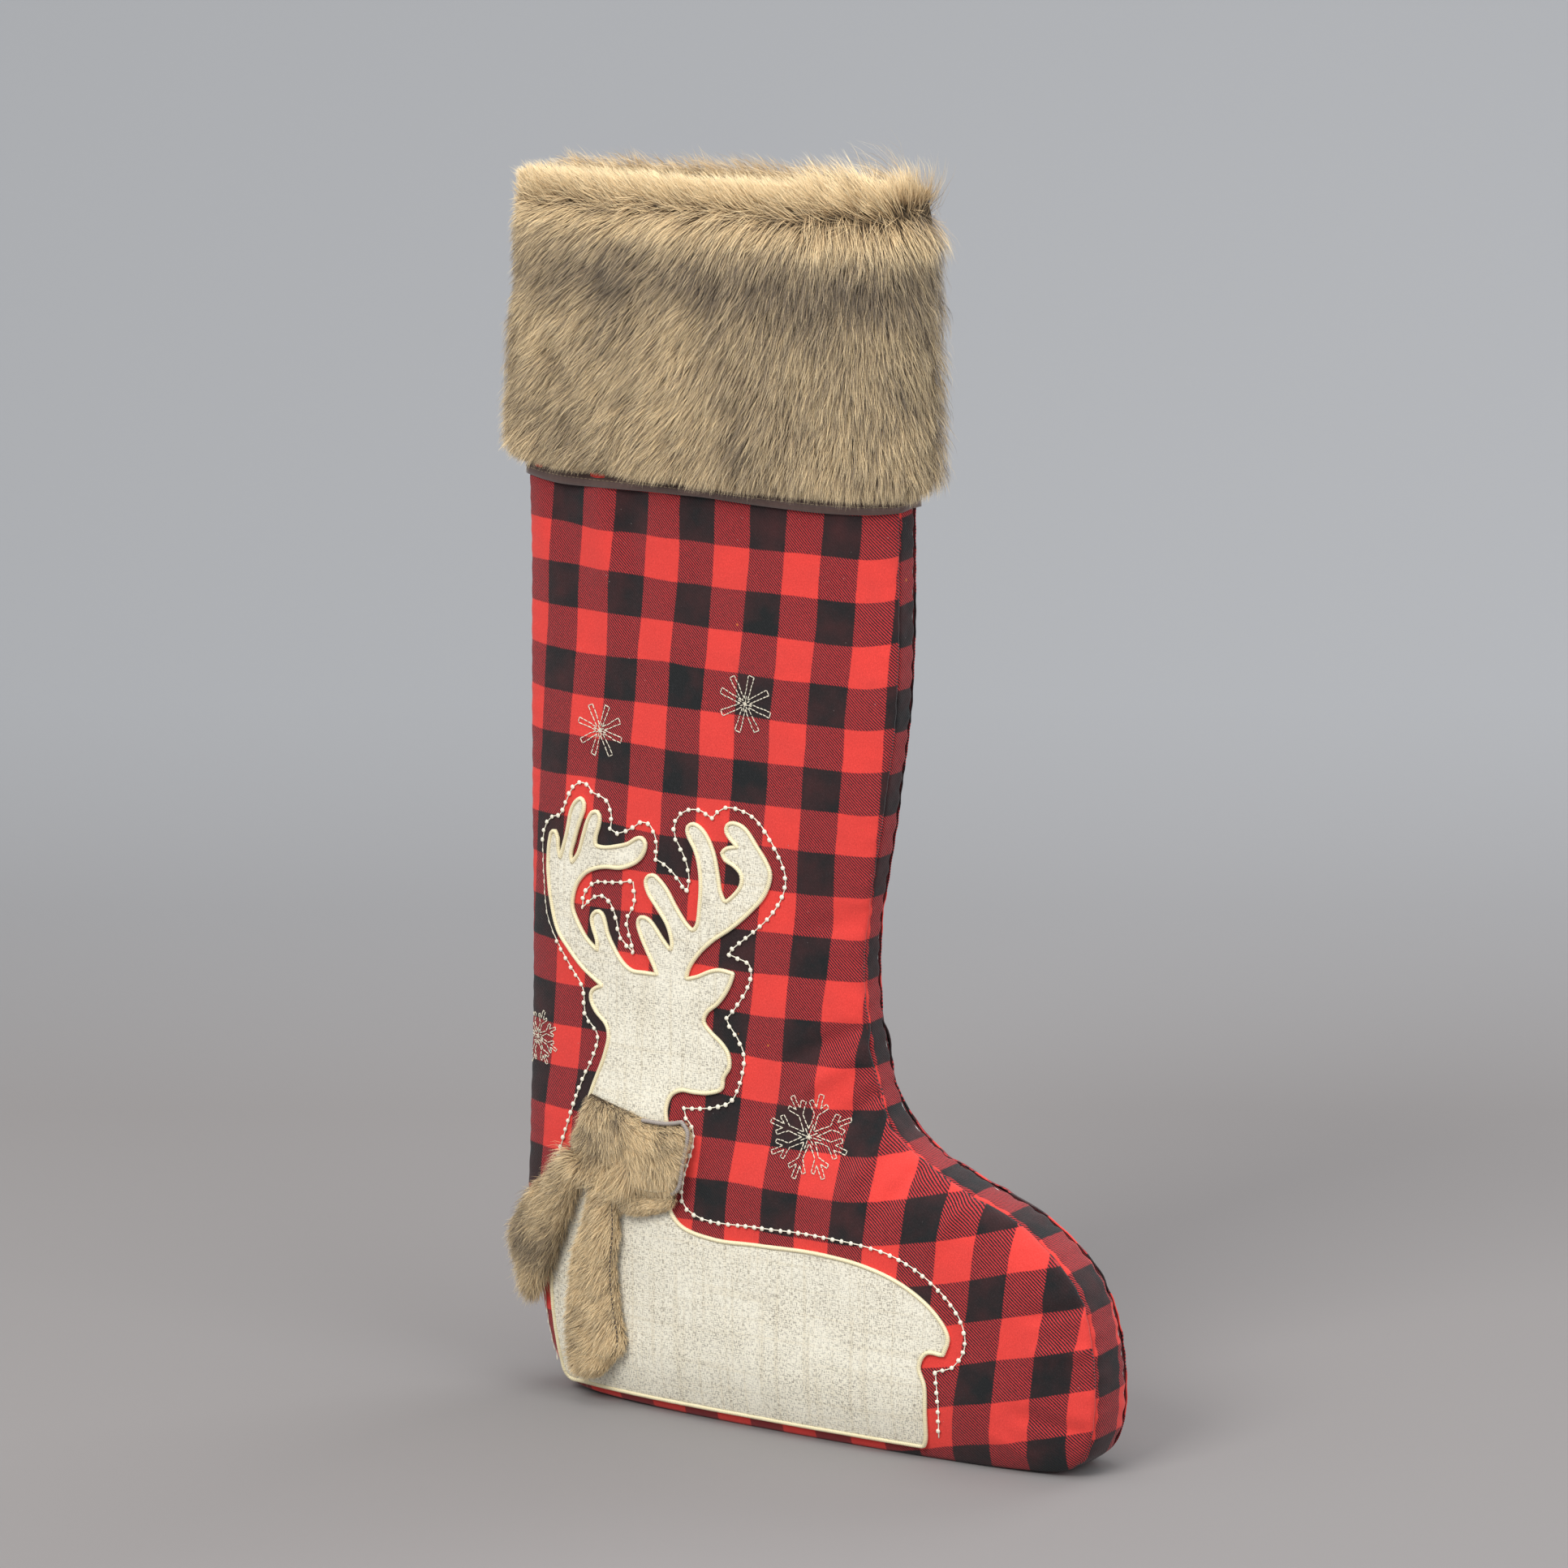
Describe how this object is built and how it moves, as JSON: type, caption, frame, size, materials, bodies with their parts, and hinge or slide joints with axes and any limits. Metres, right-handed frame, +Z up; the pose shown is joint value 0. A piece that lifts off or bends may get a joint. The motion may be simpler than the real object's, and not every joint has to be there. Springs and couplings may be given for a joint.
{
  "type": "hanging stocking",
  "caption": "Tall boxed plaid stocking with a flat sole, a turned-down fur cuff, a stitched linen reindeer and a fur scarf whose ends hang free",
  "frame": {"origin": "the middle of the flat part of the sole, on the surface that the stocking stands on", "axes": "Z up along the leg, X towards the toe, -Y out of the decorated front"},
  "size_m": [0.4296, 0.0997, 0.7865],
  "materials": {
    "plaid": "brushed buffalo-plaid flannel",
    "wadding": "needled polyester wadding",
    "lining": "plain woven lining",
    "board": "grey board stiffener",
    "fur": "long-pile faux fur, tan tips over brown",
    "facing": "brown satin",
    "linen": "flecked natural linen",
    "cord": "cream satin-stitch thread",
    "thread": "cream embroidery thread",
    "tape": "woven cotton tape"
  },
  "bodies": {
    "stocking": {"front_panel": "plaid", "back_panel": "plaid", "shin_gusset": "plaid", "heel_gusset": "plaid", "sole_panel": "plaid", "front_wadding": "wadding", "back_wadding": "wadding", "shin_gusset_wadding": "wadding", "heel_gusset_wadding": "wadding", "front_lining": "lining", "back_lining": "lining", "shin_gusset_lining": "lining", "heel_gusset_lining": "lining", "sole_lining": "lining", "sole_board": "board", "cuff_fur_front": "fur", "cuff_fur_back": "fur", "cuff_facing_front": "facing", "cuff_facing_back": "facing", "hang_loop_tab": "tape", "reindeer_applique": "linen", "reindeer_border": "cord", "outline_stitches": "thread", "antler_stitches": "thread", "snowflake_calf": "thread", "snowflake_shin": "thread", "snowflake_back_edge": "thread", "snowflake_foot": "thread", "scarf_collar": "fur", "scarf_underlap": "fur"},
    "hang_loop": {"hang_loop": "tape"},
    "scarf_tail_left": {"scarf_tail_left": "fur"},
    "scarf_tail_right": {"scarf_tail_right": "fur"}
  },
  "joints": [
    {"name": "hang_loop_turn", "type": "hinge", "parent": "stocking", "child": "hang_loop", "pos_m": [-0.2056, 0, 0.74968], "axis": [0, -1, 0], "range_deg": [0, 170]},
    {"name": "scarf_tail_left_lift", "type": "hinge", "parent": "stocking", "child": "scarf_tail_left", "pos_m": [-0.16331, -0.03896, 0.15608], "axis": [-0.7857, 0.1885, 0.5892], "range_deg": [0, 45]},
    {"name": "scarf_tail_right_lift", "type": "hinge", "parent": "stocking", "child": "scarf_tail_right", "pos_m": [-0.145, -0.03982, 0.13848], "axis": [-0.9923, 0.124, 0], "range_deg": [0, 100]}
  ]
}
